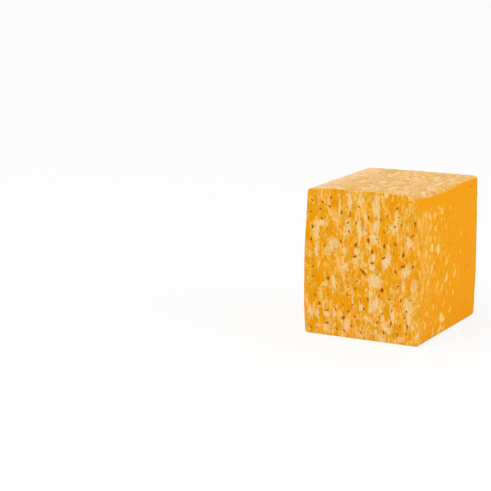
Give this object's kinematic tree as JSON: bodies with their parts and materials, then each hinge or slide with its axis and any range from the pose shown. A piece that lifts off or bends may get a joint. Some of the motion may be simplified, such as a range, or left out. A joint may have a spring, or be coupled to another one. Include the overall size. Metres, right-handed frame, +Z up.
{
  "type": "marbled cheese block",
  "caption": "Block of marbled semi-hard cheese cut from a pressed bar, with swelling sides, a crowned top, rounded mould edges and small open eyes in its two cut faces.",
  "frame": {"origin": "middle of the underside", "axes": "+X across the bar towards the slumped long edge, +Y along the bar away from the front cut, +Z up"},
  "size_m": [0.1116, 0.124, 0.1315],
  "materials": {
    "cheese": "moist orange cheese marbled with cream, faint sheen"
  },
  "bodies": {
    "root": {"cheese_block": "cheese"}
  },
  "joints": []
}
